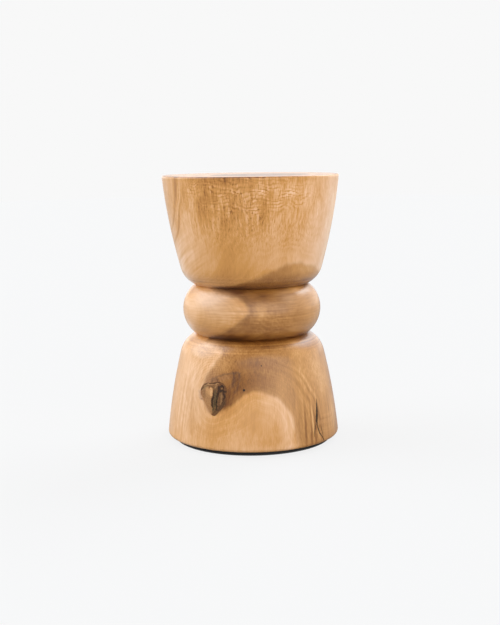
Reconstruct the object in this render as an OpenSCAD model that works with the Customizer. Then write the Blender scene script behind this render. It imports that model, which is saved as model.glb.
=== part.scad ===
// Log stool: seat block, bulging ring and flared foot, turned in one piece from one log.
// It stands on a black rubber disc, let into the underside and held by four screws.
// Millimetres, +Z up, origin on the floor at the turning axis, front towards -Y.

/* [Seat] */
// Diameter of the seat face, at the corner before it is rounded
seat_d = 298; // [286:1:310]
// Height of the seat block, from the upper groove to the seat face
seat_h = 183; // [171:0.5:196]
// Lean of the seat's side at the rim, in degrees from upright
seat_lean = 5.9; // [4:0.1:8]
// Radius of the long curve down the seat's side
seat_belly_r = 960; // [900:5:1040]
// Radius of the heel, where the side turns in to the upper groove
seat_heel_r = 42; // [38:0.5:46]
// Rounding of the seat's rim
seat_round = 3; // [1:0.5:6]

/* [Ring] */
// Height of the ring between the two grooves
ring_h = 84.5; // [76:0.5:94]
// Diameter over the ring's bulge
ring_d = 234.4; // [224:0.2:246]
// Diameter at the bottom of both grooves
neck_d = 191; // [183:1:199]

/* [Foot] */
// Diameter of the foot's underside, at the corner before it is rounded
foot_d = 295; // [284:1:306]
// Height of the foot, from its underside to the lower groove
foot_h = 174.5; // [164:0.5:186]
// Lean of the foot's side at the bottom, in degrees from upright
foot_lean = 5.6; // [4:0.1:7.5]
// Radius of the long curve up the foot's side
foot_belly_r = 1000; // [920:5:1100]
// Radius of the shoulder, where the side turns in to the lower groove
foot_shoulder_r = 45.5; // [41:0.5:50]
// Rounding of the foot's bottom edge
foot_round = 5; // [2:0.5:8]

/* [Knot] */
// Direction of the knot, in degrees from the front towards the right
knot_turn = -28.5; // [-60:0.5:-19]
// Height of the knot's middle above the floor
knot_z = 95.5; // [74:0.5:112]
// Width of the knot's wood
knot_w = 47; // [38:0.5:52]
// Depth of the knot's pocket
knot_depth = 34; // [15:1:45]
// Width of the resin seam round the knot
knot_seam = 1.2; // [0.6:0.1:2.5]

/* [Drying check] */
// Direction of the check's fork, in degrees from the front towards the right
check_turn = 47.5; // [30:0.5:120]
// Height of the check's fork above the floor
check_z = 45; // [44:0.5:58]
// Length of the check, up and down
check_len = 80; // [70:1:90]
// Depth of the check
check_depth = 24; // [10:1:32]

/* [Pin knots] */
// Diameter of the larger pin knot
pin_d = 4; // [2:0.2:8]
// Depth of the larger pin knot
pin_depth = 12; // [6:1:30]
// Direction of the larger pin knot, in degrees from the front towards the right
pin_turn = -6.2; // [-10:0.1:4]
// Height of the larger pin knot above the floor
pin_z = 108.5; // [84:0.5:128]
// Diameter of the smaller pin knot
small_pin_d = 2.4; // [1.6:0.2:6]
// Depth of the smaller pin knot
small_pin_depth = 8; // [4:1:20]
// Direction of the smaller pin knot, in degrees from the front towards the right
small_pin_turn = 6.5; // [5:0.1:20]
// Height of the smaller pin knot above the floor
small_pin_z = 146.5; // [138:0.5:150]

/* [Base disc] */
// Diameter of the rubber disc
disc_d = 270; // [256:1:280]
// Thickness of the rubber disc
disc_t = 10; // [8:0.5:16]
// Depth that the disc is let into the underside
disc_let_in = 2; // [1:0.5:4]
// Gap all round between the disc and its recess
disc_gap = 0.3; // [0.1:0.1:1]
// Chamfer of the disc's lower edge
disc_chamfer = 1.5; // [0.5:0.5:3]
// Diameter of the circle on which the screws stand
screw_circle_d = 200; // [120:1:230]
// Number of screws
screw_n = 4; // [3:1:8]
// Thickness of rubber left above each screw's counterbore
disc_web = 4; // [2.5:0.5:5]

/* [Screws and washers] */
// Diameter of the screw's shank
shank_d = 4.5; // [3:0.1:6]
// Length of the screw under its head, point included
screw_len = 35; // [20:1:60]
// Length of the screw's point
point_len = 6; // [3:0.5:9]
// Diameter of the pan head
head_d = 9; // [7:0.5:12]
// Height of the pan head
head_h = 3; // [2:0.2:3.8]
// Radius that rounds the pan head's edge
head_round = 1.6; // [0.5:0.1:1.9]
// Diameter of the washer
washer_d = 18; // [14:0.5:24]
// Thickness of the washer
washer_t = 1.5; // [1:0.1:2]
// Gap round the shank where it passes the washer
washer_gap = 0.25; // [0.1:0.05:0.6]
// Gap round the shank where it passes the rubber
disc_hole_gap = 0.5; // [0.2:0.1:1]
// Gap all round between the washer and the counterbore
counterbore_gap = 1; // [0.5:0.5:2]
// Width of each slot of the cross recess
recess_w = 1.1; // [0.8:0.1:1.6]
// Span of the cross recess
recess_span = 5; // [3.5:0.5:6]
// Depth of the cross recess
recess_depth = 1.6; // [0.8:0.1:1.8]

/* [Hidden] */
$fn = 96;
turning_fn = 360;
side_fn = 1440;

WOOD = "#c69663";
KNOT = "#8a5a38";
RESIN = "#2b2422";
RUBBER = "#1c1c1d";
STEEL = "#a9abad";

// How far a cutting shape runs past the surface that it cuts
past = 12;

// Heights above the floor: underside of the wood, the two grooves and the seat face
under_z = disc_t - disc_let_in;
lower_groove_z = under_z + foot_h;
upper_groove_z = lower_groove_z + ring_h;
seat_z = upper_groove_z + seat_h;
neck_r = neck_d / 2;

// The knot's outline, as round spots [right, up, radius] that a belt is drawn round
KNOT_SPOTS = [[3, -24, 5.5], [14, -8, 8], [9, 10, 13], [-13, 7, 12]];
// The two dark veins that split the knot, as points [right, up, half width] along each
MAIN_VEIN = [[-28, 5, 0.6], [-20, 13, 0.9], [-14.5, 16, 0.9], [-9, 13, 0.8], [-5, 15, 0.9], [-1, 11.5, 1.1],
             [0.5, 3, 1.3], [-1.5, -5, 1.5], [-1.5, -12, 1.3], [0.5, -19, 1], [2, -26, 0.8], [4, -33, 0.6]];
SIDE_VEIN = [[4, 27, 0.6], [12, 20, 0.8], [17.5, 15.5, 0.9], [17, 10, 0.8], [11, 7.5, 0.7], [7, 3, 1.1],
             [6.5, -7, 1.5], [7, -15, 1.2], [7.5, -22, 0.8], [8, -33, 0.6]];
// The forked drying check: its stem with the right branch, and its two other branches
CHECK_STEM = [[6, 38, 0.3], [4.5, 30, 1.2], [2.8, 20, 2], [0.8, 10, 2.3], [-1, 2, 2], [0, -6, 1.2],
              [1.5, -12, 0.9], [3.5, -18, 0.8], [7, -22.5, 0.8], [11, -28, 0.8], [15, -35, 0.8],
              [19, -42, 0.8]];
CHECK_LEFT = [[-1, 3, 0.6], [-5, -3, 1], [-8.5, -8, 0.9], [-10, -14, 0.4]];
CHECK_RIGHT = [[9, -7, 0.3], [9.8, -13, 0.7], [11.2, -20, 0.6], [12, -29.5, 0.5]];

// Share by which each drawn outline is sized
knot_share = knot_w / (max([for (s = KNOT_SPOTS) s.x + s.z]) - min([for (s = KNOT_SPOTS) s.x - s.z]));
check_share = check_len / (CHECK_STEM[0].y - CHECK_STEM[len(CHECK_STEM) - 1].y);

// Point at distance r from c in direction a
function polar(c, r, a) = c + r * [cos(a), sin(a)];

// Where the circles round a and b cross; side is 1 left of the line from a to b, or -1 right of it
function crossing(a, ra, b, rb, side) =
    let (d = norm(b - a))
    let (along = (ra * ra - rb * rb + d * d) / (2 * d))
    let (off = sqrt(ra * ra - along * along))
    let (e = (b - a) / d)
    a + along * e + side * off * [-e.y, e.x];

// Direction of the straight belt that runs counter-clockwise from spot a to spot b, turned outward
function belt_turn(a, b) =
    let (d = [b.x - a.x, b.y - a.y])
    atan2(d.y, d.x) - acos((a.z - b.z) / norm(d));

// A table of spots or points, sized by a share
function sized(table, share) = [for (s = table) s * share];

// Outline of a belt round the spots, each grown by grow, with its round stretches in steps of 15 degrees
function belted(spots, grow) =
    let (n = len(spots))
    [for (i = [0 : n - 1])
        let (s = spots[i])
        let (from = belt_turn(spots[(i + n - 1) % n], s))
        let (sweep = (belt_turn(s, spots[(i + 1) % n]) - from + 720) % 360)
        let (steps = max(1, round(sweep / 15)))
        for (k = [0 : steps]) polar([s.x, s.y], s.z + grow, from + sweep * k / steps)];

// Direction across a line of points at point i
function across(line, i) =
    let (a = line[max(i - 1, 0)])
    let (b = line[min(i + 1, len(line) - 1)])
    let (d = [b.x - a.x, b.y - a.y])
    [-d.y, d.x] / norm(d);

// Outline of a crack that follows the points, each with its half width
function crack(line) =
    let (last = len(line) - 1)
    [
        for (i = [0 : last]) [line[i].x, line[i].y] + line[i].z * across(line, i),
        for (i = [last : -1 : 0]) [line[i].x, line[i].y] - line[i].z * across(line, i)
    ];

// Centres of the seat's arcs: the long side curve, the heel and the rounded rim
seat_side_c = polar([seat_d / 2, seat_z], seat_belly_r, 180 - seat_lean);
seat_heel_c = crossing([neck_r, upper_groove_z], seat_heel_r, seat_side_c, seat_belly_r - seat_heel_r, -1);
seat_rim_y = seat_z - seat_round;
seat_rim_c = [
    seat_side_c.x + sqrt(pow(seat_belly_r - seat_round, 2) - pow(seat_rim_y - seat_side_c.y, 2)),
    seat_rim_y
];

// Centre and radius of the ring's arc, through both grooves and over the bulge
ring_rise = ring_d / 2 - neck_r;
ring_arc_r = (ring_h * ring_h / 4 + ring_rise * ring_rise) / (2 * ring_rise);
ring_c = [ring_d / 2 - ring_arc_r, lower_groove_z + ring_h / 2];

// Centres of the foot's arcs: the long side curve, the shoulder and the rounded bottom edge
foot_side_c = polar([foot_d / 2, under_z], foot_belly_r, 180 + foot_lean);
foot_shoulder_c = crossing([neck_r, lower_groove_z], foot_shoulder_r,
                           foot_side_c, foot_belly_r - foot_shoulder_r, 1);
foot_edge_y = under_z + foot_round;
foot_edge_c = [
    foot_side_c.x + sqrt(pow(foot_belly_r - foot_round, 2) - pow(foot_edge_y - foot_side_c.y, 2)),
    foot_edge_y
];

// Radius of the foot's side at height z
function foot_r(z) = foot_side_c.x + sqrt(pow(foot_belly_r, 2) - pow(z - foot_side_c.y, 2));

// Height at which an arc of radius r round c, set inside a side curve round side_c, leaves that curve
function tangent_z(c, r, side_c, side_r) = side_c.y + (c.y - side_c.y) * side_r / (side_r - r);

// Heights of the counterbore's ceiling and of the screw head's bearing face
counterbore_z = disc_t - disc_web;
head_z = counterbore_z - washer_t;

// Half profile between two heights: inside the side curve, with a round corner at each end
module arched_half(side_c, side_r, low_c, low_r, high_c, high_r) {
    low_z = tangent_z(low_c, low_r, side_c, side_r);
    high_z = tangent_z(high_c, high_r, side_c, side_r);
    intersection() {
        translate(side_c) circle(side_r, $fn = side_fn);
        translate([0, low_z]) square([foot_d + seat_d, high_z - low_z]);
    }
    translate(low_c) circle(low_r);
    translate([0, low_c.y - low_r]) square([low_c.x, 2 * low_r]);
    translate(high_c) circle(high_r);
    translate([0, high_c.y - high_r]) square([high_c.x, 2 * high_r]);
}

// Half profile of the whole turning, with the recess for the rubber disc
module turning_half() {
    difference() {
        union() {
            arched_half(seat_side_c, seat_belly_r, seat_heel_c, seat_heel_r, seat_rim_c, seat_round);
            arched_half(foot_side_c, foot_belly_r, foot_edge_c, foot_round, foot_shoulder_c, foot_shoulder_r);
            intersection() {
                translate(ring_c) circle(ring_arc_r);
                translate([0, ring_c.y - ring_arc_r]) square([ring_d, 2 * ring_arc_r]);
            }
            translate([0, foot_shoulder_c.y]) square([ring_c.x, seat_heel_c.y - foot_shoulder_c.y]);
        }
        translate([0, under_z - past]) square([disc_d / 2 + disc_gap, disc_let_in + past]);
    }
}

// The turned log before its knots and its check are cut
module turning() {
    rotate_extrude($fn = turning_fn) turning_half();
}

// Puts a flat outline against the foot's side, turned and raised, and sinks it to the depth
module sink(turn, z, depth) {
    rotate([0, 0, turn]) translate([0, -foot_r(z) + depth, z]) rotate([90, 0, 0])
        linear_extrude(depth + past) children();
}

// Flat outlines of the knot's wood and of the resin round it and through it
module knot_core_outline() {
    difference() {
        polygon(belted(sized(KNOT_SPOTS, knot_share), 0));
        polygon(crack(sized(MAIN_VEIN, knot_share)));
        polygon(crack(sized(SIDE_VEIN, knot_share)));
    }
}

module knot_resin_outline() {
    difference() {
        polygon(belted(sized(KNOT_SPOTS, knot_share), knot_seam));
        knot_core_outline();
    }
}

// Cutting shapes of the knot's pocket, the check and the pin knots
module knot_shape() {
    sink(knot_turn, knot_z, knot_depth) polygon(belted(sized(KNOT_SPOTS, knot_share), knot_seam));
}

module check_shape() {
    sink(check_turn, check_z, check_depth) {
        polygon(crack(sized(CHECK_STEM, check_share)));
        polygon(crack(sized(CHECK_LEFT, check_share)));
        polygon(crack(sized(CHECK_RIGHT, check_share)));
    }
}

module pin_knot_shapes() {
    sink(pin_turn, pin_z, pin_depth) circle(d = pin_d);
    sink(small_pin_turn, small_pin_z, small_pin_depth) circle(d = small_pin_d);
}

// Repeats a piece at each screw's place
module each_screw() {
    for (i = [0 : screw_n - 1])
        rotate([0, 0, (i + 0.5) * 360 / screw_n]) translate([screw_circle_d / 2, 0, 0]) children();
}

// Shank and point of a screw, from under its head; the log's pilot hole has the same shape
module shank() {
    translate([0, 0, head_z]) cylinder(d = shank_d, h = screw_len - point_len);
    translate([0, 0, head_z + screw_len - point_len]) cylinder(d1 = shank_d, d2 = 0.4, h = point_len);
}

// Pan head with a cross recess, opening downward
module pan_head() {
    difference() {
        translate([0, 0, head_z - head_h]) rotate_extrude() {
            translate([head_d / 2 - head_round, head_round]) circle(head_round);
            square([head_d / 2 - head_round, head_h]);
            translate([0, head_round]) square([head_d / 2, head_h - head_round]);
        }
        for (a = [0, 90])
            rotate([0, 0, a]) translate([-recess_span / 2, -recess_w / 2, head_z - head_h - past])
                cube([recess_span, recess_w, recess_depth + past]);
    }
}

// The stool's one wooden piece
module turned_log() {
    color(WOOD) difference() {
        turning();
        knot_shape();
        check_shape();
        pin_knot_shapes();
        each_screw() shank();
    }
}

// Encased knot: the branch wood, split by two veins
module knot_core() {
    color(KNOT) intersection() {
        turning();
        sink(knot_turn, knot_z, knot_depth) knot_core_outline();
    }
}

// Dark resin that fills the seam round the knot and its veins
module knot_resin() {
    color(RESIN) intersection() {
        turning();
        sink(knot_turn, knot_z, knot_depth) knot_resin_outline();
    }
}

// Dark resin that fills the forked drying check
module check_resin() {
    color(RESIN) intersection() {
        turning();
        check_shape();
    }
}

// Dark resin that fills the two pin knots
module pin_knot_resin() {
    color(RESIN) intersection() {
        turning();
        pin_knot_shapes();
    }
}

// Rubber disc with a chamfered lower edge and a counterbored hole for each screw
module base_disc() {
    color(RUBBER) difference() {
        rotate_extrude() polygon([
            [0, 0],
            [disc_d / 2 - disc_chamfer, 0],
            [disc_d / 2, disc_chamfer],
            [disc_d / 2, disc_t],
            [0, disc_t]
        ]);
        each_screw() {
            translate([0, 0, -past]) cylinder(d = washer_d + 2 * counterbore_gap, h = counterbore_z + past);
            translate([0, 0, -past]) cylinder(d = shank_d + 2 * disc_hole_gap, h = disc_t + 2 * past);
        }
    }
}

// Flat washers, face to face with the counterbores' ceilings
module flat_washers() {
    color(STEEL) each_screw() difference() {
        translate([0, 0, head_z]) cylinder(d = washer_d, h = washer_t);
        translate([0, 0, head_z - past]) cylinder(d = shank_d + 2 * washer_gap, h = washer_t + 2 * past);
    }
}

// Pan-head wood screws, driven up through the disc into the log
module base_screws() {
    color(STEEL) each_screw() {
        shank();
        pan_head();
    }
}

turned_log();
knot_core();
knot_resin();
check_resin();
pin_knot_resin();
base_disc();
flat_washers();
base_screws();
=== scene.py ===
import math

import bmesh
import bpy
import numpy as np
from mathutils import Matrix, Vector


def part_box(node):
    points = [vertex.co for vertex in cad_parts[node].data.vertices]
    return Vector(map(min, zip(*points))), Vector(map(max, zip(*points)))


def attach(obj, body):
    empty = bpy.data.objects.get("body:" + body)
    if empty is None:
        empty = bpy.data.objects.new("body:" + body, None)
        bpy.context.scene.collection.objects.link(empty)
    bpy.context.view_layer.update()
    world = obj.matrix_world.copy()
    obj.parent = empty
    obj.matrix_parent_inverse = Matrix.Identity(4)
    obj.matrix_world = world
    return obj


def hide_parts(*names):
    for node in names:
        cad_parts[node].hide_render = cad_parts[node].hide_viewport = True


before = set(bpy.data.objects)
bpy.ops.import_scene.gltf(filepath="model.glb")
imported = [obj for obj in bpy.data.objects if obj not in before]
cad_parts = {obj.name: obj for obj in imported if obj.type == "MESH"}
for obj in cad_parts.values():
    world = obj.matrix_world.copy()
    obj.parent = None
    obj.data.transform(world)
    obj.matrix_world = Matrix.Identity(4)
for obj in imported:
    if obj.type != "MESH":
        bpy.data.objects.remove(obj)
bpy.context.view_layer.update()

# The camera
# A long lens stands under two metres off, a little above the seat, and looks slightly down.
# It leans under a degree to one side, as a hand-levelled tripod does. Its place is in metres, and
# its focal length in pixels of the picture.
CAMERA_PLACE = (0.0, -1.8324, 0.4971)
CAMERA_PITCH = 8.757
CAMERA_YAW = 0.101
CAMERA_ROLL = 0.741
FOCAL_PIXELS = 1080.6
PICTURE_HEIGHT = 625
SENSOR = 36.0

camera = bpy.data.objects.new("camera", bpy.data.cameras.new("camera"))
camera.data.sensor_width = SENSOR
camera.data.lens = FOCAL_PIXELS * SENSOR / PICTURE_HEIGHT
camera.matrix_world = (
    Matrix.Translation(CAMERA_PLACE)
    @ Matrix.Rotation(math.radians(CAMERA_YAW), 4, "Z")
    @ Matrix.Rotation(math.radians(90 - CAMERA_PITCH), 4, "X")
    @ Matrix.Rotation(math.radians(-CAMERA_ROLL), 4, "Z")
)
bpy.context.scene.collection.objects.link(camera)
bpy.context.scene.camera = camera
bpy.context.scene.view_settings.view_transform = "Standard"

# The studio
# A white sweep of paper in a light tent. The tent is bright behind, dimmer on the camera's side and
# dimmest overhead, and softboxes hang left, right and in front. To the camera the paper glows evenly
# by its own light, which keeps the shadows on it faint, and its dark share alone takes the shadows.
BACKDROP = "#f8f8f8"
SWEEP_SEEN = "#484848"
SWEEP_GLOW = 0.83
SWEEP_RADIUS = 9.0
# The grey that the paper throws back at the stool
SWEEP_BOUNCE = "#a0a0a0"
# Light passes through the paper this near to a surface, in metres, so it reaches the stool's base
SWEEP_GAP = 0.004
TENT_FRONT = 0.90
TENT_BACK = 2.10
TENT_TOP = 0.45
# Where the cloth's light changes: from front to back, and from the wall to the roof
TENT_TURN = (-0.6, 0.6)
TENT_RISE = (0.15, 0.9)
SOFTBOXES = {
    "softbox_left": {"turn": -98, "height": 40, "spread": 56, "power": 2.4, "tint": "#e9f4ff"},
    "softbox_right": {"turn": 138, "height": 41, "spread": 36, "power": 2.0, "tint": "#e9f4ff"},
    "softbox_front": {"turn": 20, "height": 0, "spread": 90, "power": 2.6, "tint": "#ffffff"},
}


def colour(hex_value):
    """Turns an sRGB hex colour into the linear colour that a shader takes."""
    parts = [int(hex_value[i:i + 2], 16) / 255 for i in (1, 3, 5)]
    linear = [p / 12.92 if p <= 0.04045 else ((p + 0.055) / 1.055) ** 2.4 for p in parts]
    return (*linear, 1.0)


def add_node(tree, kind, inputs=None, shades=None, **settings):
    """Adds a node with its settings, and fills its inputs with values or with other nodes' outputs.

    The shades of a colour ramp are hex colours by their place from 0 to 1.
    """
    made = tree.nodes.new(kind)
    for name, value in settings.items():
        setattr(made, name, value)
    if shades:
        stops = made.color_ramp.elements
        while len(stops) < len(shades):
            stops.new(0.5)
        for stop, (at, shade) in zip(stops, shades.items()):
            stop.position = at
            stop.color = colour(shade)
    for name, value in (inputs or {}).items():
        if isinstance(value, bpy.types.Node):
            value = value.outputs[0]
        if isinstance(value, bpy.types.NodeSocket):
            tree.links.new(value, made.inputs[name])
        else:
            made.inputs[name].default_value = value
    return made


def new_material(name):
    """Makes an empty material and returns it with its node tree."""
    made = bpy.data.materials.new(name)
    made.use_nodes = True
    made.node_tree.nodes.clear()
    return made, made.node_tree


tent = bpy.data.worlds.new("light_tent")
tent.use_nodes = True
bpy.context.scene.world = tent
tree = tent.node_tree
tree.nodes.clear()
outward = add_node(tree, "ShaderNodeTexCoord")
parts = add_node(tree, "ShaderNodeSeparateXYZ", {0: outward.outputs["Generated"]})
cloth = add_node(tree, "ShaderNodeMapRange",
                 {"Value": parts.outputs["Y"], "From Min": TENT_TURN[0], "From Max": TENT_TURN[1],
                  "To Min": TENT_FRONT, "To Max": TENT_BACK},
                 interpolation_type="SMOOTHSTEP")
roof = add_node(tree, "ShaderNodeMapRange",
                {"Value": parts.outputs["Z"], "From Min": TENT_RISE[0], "From Max": TENT_RISE[1],
                 "To Min": 1.0, "To Max": TENT_TOP},
                interpolation_type="SMOOTHSTEP")
cloth = add_node(tree, "ShaderNodeMath", {0: cloth, 1: roof}, operation="MULTIPLY")
lit = add_node(tree, "ShaderNodeBackground", {"Strength": cloth})
seen = add_node(tree, "ShaderNodeBackground", {"Color": colour(BACKDROP), "Strength": 1.0})
sight = add_node(tree, "ShaderNodeLightPath")
either = add_node(tree, "ShaderNodeMixShader", {0: sight.outputs["Is Camera Ray"], 1: lit, 2: seen})
add_node(tree, "ShaderNodeOutputWorld", {"Surface": either})

matt_paper, tree = new_material("matt_paper_sweep")
bounce = add_node(tree, "ShaderNodeBsdfDiffuse", {"Color": colour(SWEEP_BOUNCE)})
plain = add_node(tree, "ShaderNodeBsdfDiffuse", {"Color": colour(SWEEP_SEEN)})
glow = add_node(tree, "ShaderNodeEmission", {"Strength": SWEEP_GLOW})
seen = add_node(tree, "ShaderNodeAddShader", {0: plain, 1: glow})
sight = add_node(tree, "ShaderNodeLightPath")
either = add_node(tree, "ShaderNodeMixShader", {0: sight.outputs["Is Camera Ray"], 1: bounce, 2: seen})
side = add_node(tree, "ShaderNodeNewGeometry")
clear = add_node(tree, "ShaderNodeBsdfTransparent")
either = add_node(tree, "ShaderNodeMixShader", {0: side.outputs["Backfacing"], 1: either, 2: clear})
near = add_node(tree, "ShaderNodeMath", {0: sight.outputs["Ray Length"], 1: SWEEP_GAP},
                operation="LESS_THAN")
either = add_node(tree, "ShaderNodeMixShader", {0: near, 1: either, 2: clear})
add_node(tree, "ShaderNodeOutputMaterial", {"Surface": either})

bpy.ops.mesh.primitive_circle_add(vertices=96, radius=SWEEP_RADIUS, fill_type="NGON")
sweep = bpy.context.object
sweep.name = "paper_sweep"
sweep.data.materials.append(matt_paper)

for name, box in SOFTBOXES.items():
    light = bpy.data.lights.new(name, "SUN")
    light.angle = math.radians(box["spread"])
    light.energy = box["power"]
    light.color = colour(box["tint"])[:3]
    lamp = bpy.data.objects.new(name, light)
    turn, height = math.radians(box["turn"]), math.radians(box["height"])
    way = Vector((math.sin(turn) * math.cos(height), -math.cos(turn) * math.cos(height), math.sin(height)))
    lamp.location = 2 * way
    lamp.rotation_euler = way.to_track_quat("Z", "Y").to_euler()
    bpy.context.scene.collection.objects.link(lamp)

# The turned log
# Seat, ring and foot are one length of trunk, turned on a lathe to three swelling forms with two
# sharp grooves between them, then sanded and oiled. All sizes here are in millimetres.
MM = 0.001
SEAT_D = 298
SEAT_LEAN = 5.9
SEAT_BELLY_R = 960
SEAT_HEEL_R = 42
SEAT_ROUND = 3
RING_D = 234.4
NECK_R = 95.5
FOOT_D = 295
FOOT_H = 174.5
RING_H = 84.5
FOOT_LEAN = 5.6
FOOT_BELLY_R = 1000
FOOT_SHOULDER_R = 45.5
FOOT_ROUND = 5
RECESS_R = 135.3
RECESS_DEPTH = 2
COLUMNS = 640
ROW_STEP = 1.5
FACE_STEP = 3.0
UNDER_STEP = 12.0

log_low, log_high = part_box("turned_log")
UNDER_Z = log_low.z / MM
SEAT_Z = log_high.z / MM
LOWER_Z = UNDER_Z + FOOT_H
UPPER_Z = LOWER_Z + RING_H


def polar(centre, radius, degrees):
    """The point at a distance from a centre, in a direction."""
    turn = math.radians(degrees)
    return np.array(centre) + radius * np.array([math.cos(turn), math.sin(turn)])


def crossing(a, ra, b, rb, side):
    """Where the circles round a and b cross: side 1 is left of the line from a to b, -1 right."""
    gap = np.array(b) - np.array(a)
    d = np.hypot(*gap)
    along = (ra ** 2 - rb ** 2 + d ** 2) / (2 * d)
    e = gap / d
    return np.array(a) + along * e + side * math.sqrt(ra ** 2 - along ** 2) * np.array([-e[1], e[0]])


def heading(centre, point):
    """Direction from a centre to a point, in degrees."""
    return math.degrees(math.atan2(point[1] - centre[1], point[0] - centre[0]))


def arc(centre, radius, start, end, step):
    """Points along an arc, about one step apart."""
    count = max(2, round(abs(math.radians(end - start)) * radius / step) + 1)
    return [polar(centre, radius, a) for a in np.linspace(start, end, count)]


def line(a, b, step):
    """Points along a straight line, about one step apart."""
    count = max(2, round(math.dist(a, b) / step) + 1)
    return [np.array(a) + (np.array(b) - np.array(a)) * t for t in np.linspace(0, 1, count)]


def corner(side_centre, side_r, z, radius):
    """Centre of a corner arc at height z that touches the side curve from inside."""
    reach = math.sqrt((side_r - radius) ** 2 - (z - side_centre[1]) ** 2)
    return np.array([side_centre[0] + reach, z])


seat_side = polar((SEAT_D / 2, SEAT_Z), SEAT_BELLY_R, 180 - SEAT_LEAN)
seat_heel = crossing((NECK_R, UPPER_Z), SEAT_HEEL_R, seat_side, SEAT_BELLY_R - SEAT_HEEL_R, -1)
seat_rim = corner(seat_side, SEAT_BELLY_R, SEAT_Z - SEAT_ROUND, SEAT_ROUND)
ring_rise = RING_D / 2 - NECK_R
ring_r = (RING_H ** 2 / 4 + ring_rise ** 2) / (2 * ring_rise)
ring = np.array([RING_D / 2 - ring_r, LOWER_Z + RING_H / 2])
foot_side = polar((FOOT_D / 2, UNDER_Z), FOOT_BELLY_R, 180 + FOOT_LEAN)
foot_shoulder = crossing((NECK_R, LOWER_Z), FOOT_SHOULDER_R, foot_side, FOOT_BELLY_R - FOOT_SHOULDER_R, 1)
foot_edge = corner(foot_side, FOOT_BELLY_R, UNDER_Z + FOOT_ROUND, FOOT_ROUND)

profile = (
    line((0, UNDER_Z + RECESS_DEPTH), (RECESS_R, UNDER_Z + RECESS_DEPTH), UNDER_STEP)
    + line((RECESS_R, UNDER_Z), (foot_edge[0], UNDER_Z), ROW_STEP)
    + arc(foot_edge, FOOT_ROUND, -90, heading(foot_side, foot_edge), ROW_STEP / 2)[1:]
    + arc(foot_side, FOOT_BELLY_R, heading(foot_side, foot_edge),
          heading(foot_side, foot_shoulder), ROW_STEP)[1:]
    + arc(foot_shoulder, FOOT_SHOULDER_R, heading(foot_side, foot_shoulder),
          heading(foot_shoulder, (NECK_R, LOWER_Z)), ROW_STEP)[1:]
    + arc(ring, ring_r, heading(ring, (NECK_R, LOWER_Z)), heading(ring, (NECK_R, UPPER_Z)), ROW_STEP)[1:]
    + arc(seat_heel, SEAT_HEEL_R, heading(seat_heel, (NECK_R, UPPER_Z)),
          heading(seat_side, seat_heel), ROW_STEP)[1:]
    + arc(seat_side, SEAT_BELLY_R, heading(seat_side, seat_heel),
          heading(seat_side, seat_rim), ROW_STEP)[1:]
    + arc(seat_rim, SEAT_ROUND, heading(seat_side, seat_rim), 90, ROW_STEP / 2)[1:]
    + line((seat_rim[0], SEAT_Z), (0, SEAT_Z), FACE_STEP)[1:]
)


def mesh_object(name, points, faces):
    """Makes a mesh object from points in millimetres."""
    mesh = bpy.data.meshes.new(name)
    mesh.from_pydata((np.asarray(points) * MM).tolist(), [], faces)
    mesh.update()
    made = bpy.data.objects.new(name, mesh)
    bpy.context.scene.collection.objects.link(made)
    return made


def lathe(name, rows, columns):
    """Turns a profile of (radius, height) rows, whose first and last lie on the axis."""
    rows = np.array(rows)
    turn = np.arange(columns) * 2 * math.pi / columns
    body = rows[1:-1]
    r = body[:, 0][:, None]
    grid = np.stack([r * np.sin(turn), -r * np.cos(turn), body[:, 1][:, None] + 0 * turn], axis=-1)
    points = np.concatenate([[[0, 0, rows[0, 1]]], grid.reshape(-1, 3), [[0, 0, rows[-1, 1]]]])
    here = 1 + np.arange(len(body) * columns).reshape(len(body), columns)
    beside = np.roll(here, -1, axis=1)
    quads = np.stack([here[:-1], beside[:-1], beside[1:], here[1:]], axis=-1).reshape(-1, 4)
    last = len(points) - 1
    faces = quads.tolist()
    faces += [[0, int(b), int(a)] for a, b in zip(here[0], beside[0])]
    faces += [[last, int(a), int(b)] for a, b in zip(here[-1], beside[-1])]
    return mesh_object(name, points, faces)


turned_log = lathe("turned_log_wood", profile, COLUMNS)

# The knot and its resin
# A dead branch grew into the trunk here, and the turning cut it across: brown end grain with a
# cream heart, split by dark veins. Its cracks are filled with dark epoxy resin and sanded flush.
KNOT_TURN = -28.5
KNOT_Z = 95.5
KNOT_DEPTH = 34
KNOT_SEAM = 1.2
# How far a cutting shape stands out of the wood
PAST = 12
# The knot's outline and its veins are runs of [right, up, radius] from its middle
KNOT_MIDDLE = (3, 2)
KNOT_SPAN = (-28, 26, -33, 27)
KNOT_SPOTS = [[3, -24, 5.5], [14, -8, 8], [9, 10, 13], [-13, 7, 12], [3, -24, 5.5]]
MAIN_VEIN = [[-28, 5, 0.6], [-20, 13, 0.9], [-14.5, 16, 0.9], [-9, 13, 0.8], [-5, 15, 0.9], [-1, 11.5, 1.1],
             [0.5, 3, 1.3], [-1.5, -5, 1.5], [-1.5, -12, 1.3], [0.5, -19, 1], [2, -26, 0.8], [4, -33, 0.6]]
SIDE_VEIN = [[4, 27, 0.6], [12, 20, 0.8], [17.5, 15.5, 0.9], [17, 10, 0.8], [11, 7.5, 0.7], [7, 3, 1.1],
             [6.5, -7, 1.5], [7, -15, 1.2], [7.5, -22, 0.8], [8, -33, 0.6]]
VEIN_WAVER = 0.25
KNOT_STEP = 0.5
SHARP_EDGE = 32
KNOT_SHADES = {0.0: "#22140a", 0.25: "#523219", 0.5: "#8a5c36", 0.75: "#c08c58", 1.0: "#efc693"}
DEAD_SHADES = {0.0: "#171407", 0.25: "#443820", 0.5: "#77633f", 0.75: "#a58c60", 1.0: "#d4bf92"}
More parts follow.
